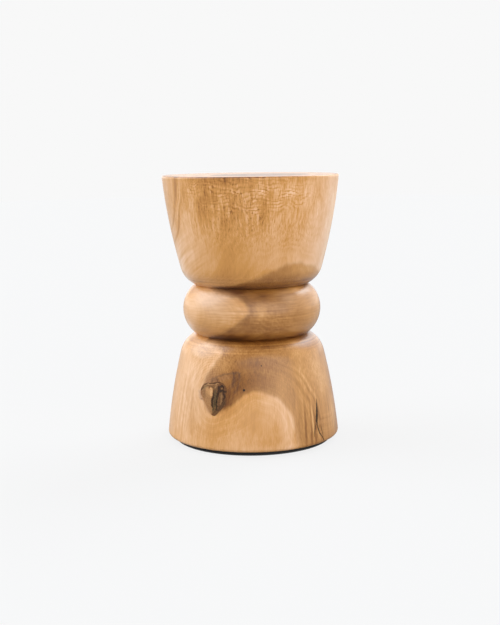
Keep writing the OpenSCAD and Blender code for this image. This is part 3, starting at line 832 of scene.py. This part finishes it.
def areas(right, up, rows):
    """The summed strength of soft oval areas of the side laid flat."""
    total = np.zeros(len(right))
    for turn, height, width, tall, strength in rows:
        beside = (right - math.radians(turn) * FLAT_R) / width
        total += strength * np.exp(-beside ** 2 - ((up - height) / tall) ** 2)
    return total


def within(right, up, outline):
    """How far points lie inside a closed outline, and negative outside it."""
    inside = np.zeros(len(right), bool)
    for a, b in zip(outline, np.roll(outline, -1, axis=0)):
        if a[1] != b[1]:
            spans = (a[1] > up) != (b[1] > up)
            inside ^= spans & (right < a[0] + (up - a[1]) * (b[0] - a[0]) / (b[1] - a[1]))
    return np.where(inside, 1, -1) * off_belt(right, up, outline)


def streaks(right, up, slope, across, along, seed):
    """Soft streaks on the side laid flat, rising at a slope, from their width and length."""
    a = math.radians(slope)
    run = right * math.cos(a) + up * math.sin(a)
    rise = up * math.cos(a) - right * math.sin(a)
    return waves(np.stack([run * across / along, rise, 0 * run], axis=-1), 2 * across, seed)


def plateau(values, middle, reach):
    """1 round a middle value, falling off past the reach on both sides."""
    return np.exp(-((values - middle) / reach) ** 4)


def wood_fields(piece):
    """Gives a wooden piece its growth rings, its heartwood, its flow of grain and its tones."""
    p = points_of(piece)
    z = p[:, 2]
    from_pith = np.hypot(p[:, 0] - PITH[0], p[:, 1] - PITH[1])
    seat_face = z > SEAT_Z - 0.01
    rim = smooth(np.hypot(p[:, 0], p[:, 1]), 141, 145) * smooth(z, 447.5, 449)
    on_ring = (z > LOWER_Z) & (z < UPPER_Z)
    on_foot = 1 - smooth(z, 172, 184)
    flat = np.where(seat_face, OFF_SIDE, np.arctan2(p[:, 0], -p[:, 1]) * FLAT_R)
    behind = smooth(np.abs(flat), 180, 260) * ~seat_face
    right, up, out = from_branch(p, KNOT_TURN, KNOT_Z)
    from_knot = np.hypot(right, up)

    # Heartwood shows inside its edge on the side, and inside its own radius on the seat's face
    edge = np.array(HEART_EDGE + HEART_EDGE[:1], float)
    edge[:, 0] = np.radians(edge[:, 0]) * FLAT_R
    edge = flowing(np.pad(edge, ((0, 0), (0, 1))), 4)
    inside = within(flat, z, edge)
    into_heart = inside + 0.9 * waves(p, 45, 3) + 0.5 * waves(p * (1, 1, 0.5), 12, 4)
    into_heart = np.where(seat_face, HEART_R - from_pith + 2 * waves(p, 60, 3), into_heart)
    give(piece, "heart", 1 / (1 + np.exp(-into_heart / HEART_SOFT)))

    # Growth rings run round the pith, and on the foot's front along the heartwood's edge
    rings = from_pith + 2.0 * waves(p, 120, 5) + 0.8 * waves(p * (1, 1, 0.4), 24, 6)
    near_heart = np.clip(inside, -40, 60) + 1.5 * waves(p, 50, 9)
    rings += (120 - near_heart - rings) * on_foot * smooth(np.abs(flat), 200, 150)
    give(piece, "ring", rings)

    # The grain runs upright and bends round the knot, and shows level on the ring
    shift = -right * 20 ** 2 / (from_knot ** 2 + 14 ** 2) * smooth(out, 30, 80)
    a = math.radians(KNOT_TURN)
    grain = p.copy()
    grain[:, 0] += shift * math.cos(a) + 1.8 * waves(p * (1, 1, 0.5), 50, 11)
    grain[:, 1] += shift * math.sin(a) + 1.8 * waves(p * (1, 1, 0.5), 50, 12)
    level = (z + 1.5 * waves(p, 60, 13)) * FIBRE_L / FIBRE_W
    around_ring = np.column_stack([p[:, :2] * FIBRE_W / FIBRE_L, level])
    grain[on_ring] = around_ring[on_ring]
    give(piece, "grain", grain)

    # The wood's tone wanders slowly over the log and finely along its grain
    tone = 0.52 + 0.028 * waves(p * (1, 1, 0.45), 45, 21)
    upright = (0.010 + 0.012 * smooth(z, 340, 400)) * waves(grain * (1, 1, 0.07), 9, 22)
    tone += np.where(on_ring, 0.016 * waves(p * (0.2, 0.2, 1), 4, 23), upright)
    tone += 0.06 * smooth(z, 285, 330) + 0.03 * on_foot
    # The seat's face, the rounding of its rim and the back are darkened as painted shade against the strong
    # light from above and behind
    tone -= 0.25 * seat_face + 0.28 * rim + 0.07 * behind
    ring_band = np.sin(rings / 2.9 + 3 * np.sin(rings / 11))
    tone += ring_band * (0.022 + 0.05 * seat_face + 0.03 * behind + areas(flat, z, RINGED))

    # Two dark rings of dry years cross the seat's face and run down its upper left
    bands = np.exp(-((rings - 145.5) / 1.4) ** 2) + np.exp(-((rings - 149.3) / 1.7) ** 2)
    tone -= 0.14 * bands * seat_face
    for run, soft, change in DRY_YEARS:
        run = flowing([[math.radians(turn) * FLAT_R, height, wide] for turn, height, wide in run], 3)
        tone += change * (1 - smooth(off_belt(flat, z, run), -soft, soft))

    # Interlocked grain shows as ripples and upright streaks under the seat's rim, as slanting
    # streaks low on its left, as upright ones on the foot, and as curls on the ring
    drift = z + 0.10 * flat + 2.0 * waves(p, 32, 30) + 0.6 * waves(p * (1, 1, 2), 12, 38)
    trough = np.maximum(np.sin(drift * 2 * math.pi / RIPPLE_GAP), 0) ** 1.5
    ripple = (0.36 - trough) * (0.7 + 0.5 * streaks(flat, z, 0, 5, 14, 31))
    ripple_share = 0.35 * smooth(z, 375, 410) * plateau(flat, -5, 95) + areas(flat, z, RIPPLED)
    tone += 0.26 * ripple * np.minimum(ripple_share, 1)
    tone += 0.045 * streaks(flat, z, 91, 2.2, 40, 32) * smooth(z, 330, 390) * plateau(flat, -10, 95)
    tone += streaks(flat, z, 27, 2.4, 45, 33) * areas(flat, z, SLANTING)
    tone += streaks(flat, z, 88, 3.2, 60, 35) * areas(flat, z, UPRIGHT)
    tone += waves(p * (1, 1, 1.6), 6, 39) * areas(flat, z, CURLED)

    # Arcs of cut grain lie round the knot, and broad areas are lighter or darker, in the wood's tone and as
    # painted highlights and shade
    tone += np.sin(from_knot * 1.7 + 2 * waves(p, 40, 34)) * areas(flat, z, ARCHED)
    tone += areas(flat, z, TONED_AND_LIT)

    # Painted shade darkens the bottoms of the two grooves, and most where they cut into heartwood
    for height, above, below in GROOVE_SHADE:
        groove_shade = np.exp(-((z - height) / np.where(z > height, above, below)) ** 2)
        tone -= groove_shade * (0.08 + 0.26 * smooth(into_heart, -2, 3))

    # The turner's tool left faint level lines beside the grooves, and one scored line on the ring
    turned = waves(np.stack([z, 0 * z, 0 * z], axis=-1), 2.6, 36) + waves(p * (0.02, 0.02, 1), 3.4, 37)
    for height, reach, strength in TOOLED:
        tone += 0.033 * turned * strength * np.exp(-((z - height) / reach) ** 2)
    tone -= 0.16 * np.exp(-((z - SCORE_Z) / 0.9) ** 2) * plateau(flat, 10, 60)
    paint_knot(piece, tone, "left edge, tan")

    # The fibres show most under the seat's rim and hardly at all on its face
    figure = 0.75 + 0.4 * smooth(z, 330, 390) - 0.4 * plateau(z, 310, 30) - 0.1 * plateau(z, 225, 30)
    figure -= 0.3 * smooth(z, 270, 300) * smooth(np.abs(flat), 95, 130)
    figure -= 0.4 * on_ring + 0.75 * seat_face
    give(piece, "figure", figure + areas(flat, z, FIBROUS))
    give(piece, "fleck", areas(flat, z, FLECKED))

    # How yellow the wood is, less so behind, and greyer as painted sheen on the seat's face, its rim and on
    # the left of the ring and foot, and how thick the film of oil stands on it
    give(piece, "rich_and_sheen", 1 - 0.22 * seat_face - 0.05 * rim - 0.08 * behind + areas(flat, z, YELLOWED_AND_SHEEN))
    film = 0.65 - 0.4 * seat_face - 0.2 * rim + areas(flat, z, SUNK_IN)
    give(piece, "film", np.clip(film, 0, 1))


wood_fields(turned_log)

# The oil lets the colour of the wood through and leaves a soft gloss that whitens at a glance.
oiled_wood, tree = new_material("oiled_log_wood")
grain = add_node(tree, "ShaderNodeAttribute", attribute_name="grain").outputs["Vector"]
field = {name: add_node(tree, "ShaderNodeAttribute", attribute_name=name).outputs["Fac"]
         for name in ("ring", "figure", "fleck", "tone", "heart", "dead", "knotty", "rich_and_sheen", "film")}

ring_place = add_node(tree, "ShaderNodeMath", {0: field["ring"], 1: RING_GAP}, operation="DIVIDE")
ring_lines = add_node(tree, "ShaderNodeTexNoise", {"W": ring_place, "Scale": 1.0, "Detail": 2.0},
                      noise_dimensions="1D")
ring_lines = add_node(tree, "ShaderNodeMath", {0: ring_lines, 1: 0.5}, operation="SUBTRACT")

# Noise drawn out along the grain makes the fibres and the flecks
strokes = {}
for name, across, along, detail, offset in (("fibre", FIBRE_W, FIBRE_L, 4, 0),
                                            ("fleck", FLECK_W, FLECK_L, 3, 60)):
    place = add_node(tree, "ShaderNodeVectorMath",
                     {0: grain, 1: (1 / across, 1 / across, 1 / along), 2: (offset, offset, offset)},
                     operation="MULTIPLY_ADD")
    noise = add_node(tree, "ShaderNodeTexNoise",
                     {"Vector": place, "Scale": 1.0, "Detail": detail, "Roughness": 0.55})
    strokes[name] = add_node(tree, "ShaderNodeMath", {0: noise, 1: 0.5}, operation="SUBTRACT")
fibres = add_node(tree, "ShaderNodeMath", {0: strokes["fibre"], 1: field["figure"]}, operation="MULTIPLY")
flecks = add_node(tree, "ShaderNodeMath", {0: strokes["fleck"], 1: 0.06}, operation="SUBTRACT",
                  use_clamp=True)
flecks = add_node(tree, "ShaderNodeMath", {0: flecks, 1: field["fleck"]}, operation="MULTIPLY")
tone = field["tone"]
for mark, strength in ((ring_lines, 0.10), (fibres, 0.55), (flecks, -2.4)):
    tone = add_node(tree, "ShaderNodeMath", {0: mark, 1: strength, 2: tone}, operation="MULTIPLY_ADD")

# Sapwood and heartwood meet at a soft edge, and the marks of the knot lie over both
sapwood, heartwood, brown, greyed = [
    add_node(tree, "ShaderNodeValToRGB", {"Fac": tone}, shades)
    for shades in (SAPWOOD_SHADES, HEARTWOOD_SHADES, KNOT_SHADES, DEAD_SHADES)]
wood = add_node(tree, "ShaderNodeMix", {0: field["heart"], 6: sapwood, 7: heartwood}, data_type="RGBA")
knot = add_node(tree, "ShaderNodeMix", {0: field["dead"], 6: brown, 7: greyed}, data_type="RGBA")
shade = add_node(tree, "ShaderNodeMix", {0: field["knotty"], 6: wood.outputs[2], 7: knot.outputs[2]},
                 data_type="RGBA")
# Lower saturation here stands in partly for painted sheen
shade = add_node(tree, "ShaderNodeHueSaturation", {"Saturation": field["rich_and_sheen"], "Color": shade.outputs[2]})

relief = add_node(tree, "ShaderNodeMath", {0: strokes["fibre"], 1: strokes["fleck"]}, operation="ADD")
bump = add_node(tree, "ShaderNodeBump", {"Height": relief, "Strength": 0.4, "Distance": 0.3 * MM})
gloss = add_node(tree, "ShaderNodeMath", {0: strokes["fibre"], 1: 0.25, 2: 0.42}, operation="MULTIPLY_ADD")
skin = add_node(tree, "ShaderNodeBsdfPrincipled",
                {"Base Color": shade, "Roughness": gloss, "Specular IOR Level": 0.3,
                 "Coat Weight": field["film"], "Coat Roughness": 0.26, "Normal": bump})
add_node(tree, "ShaderNodeOutputMaterial", {"Surface": skin})
dress(turned_log, oiled_wood, "turned_log")

# The base disc
# A disc of black rubber sheet, die-cut with a chamfered lower edge, let into the underside and
# screwed to it. It keeps its construction solid. Pressed sheet is dull, and dullest where it is worn.
# Where the disc shows below the foot, its black stands in partly for the shadow in the gap under the foot
RUBBER = "#0b0b0c"
RUBBER_WORN = "#1b1b1c"
# The sheet's fine pits are drawn about 1 mm across so that they show
RUBBER_PITS = 1.1111
RUBBER_WEAR = 35.714

rubber_and_gap_shadow, tree = new_material("black_rubber_sheet")
place = add_node(tree, "ShaderNodeTexCoord").outputs["Object"]
pits = add_node(tree, "ShaderNodeTexNoise",
                {"Vector": place, "Scale": 1 / (RUBBER_PITS * MM), "Detail": 3.0})
worn = add_node(tree, "ShaderNodeTexNoise",
                {"Vector": place, "Scale": 1 / (RUBBER_WEAR * MM), "Detail": 4.0})
shade = add_node(tree, "ShaderNodeMix", {0: worn, 6: colour(RUBBER), 7: colour(RUBBER_WORN)},
                 data_type="RGBA")
dull = add_node(tree, "ShaderNodeMapRange", {"Value": worn, "To Min": 0.62, "To Max": 0.85})
bump = add_node(tree, "ShaderNodeBump", {"Height": pits, "Strength": 0.3, "Distance": 0.2 * MM})
skin = add_node(tree, "ShaderNodeBsdfPrincipled",
                {"Base Color": shade.outputs[2], "Roughness": dull.outputs[0], "Normal": bump})
add_node(tree, "ShaderNodeOutputMaterial", {"Surface": skin})
for slot in bpy.data.objects["base_disc"].material_slots:
    slot.material = rubber_and_gap_shadow

# The washers and screws
# Zinc-plated steel: stamped flat washers under the pan heads of four cross-recess wood screws.
# They keep their construction solids. The plating is satin, with a faint cloudy bloom.
ZINC = "#b9bcbf"
ZINC_DULL = "#8f9397"
ZINC_CLOUD = 3.8462

zinc_steel, tree = new_material("zinc_plated_steel")
place = add_node(tree, "ShaderNodeTexCoord").outputs["Object"]
cloud = add_node(tree, "ShaderNodeTexNoise",
                 {"Vector": place, "Scale": 1 / (ZINC_CLOUD * MM), "Detail": 4.0})
shade = add_node(tree, "ShaderNodeMix", {0: cloud, 6: colour(ZINC_DULL), 7: colour(ZINC)},
                 data_type="RGBA")
satin = add_node(tree, "ShaderNodeMapRange", {"Value": cloud, "To Min": 0.24, "To Max": 0.46})
bump = add_node(tree, "ShaderNodeBump", {"Height": cloud, "Strength": 0.15, "Distance": 0.1 * MM})
skin = add_node(tree, "ShaderNodeBsdfPrincipled",
                {"Base Color": shade.outputs[2], "Metallic": 1.0, "Roughness": satin.outputs[0],
                 "Normal": bump})
add_node(tree, "ShaderNodeOutputMaterial", {"Surface": skin})
for name in ("flat_washers", "base_screws"):
    for slot in bpy.data.objects[name].material_slots:
        slot.material = zinc_steel
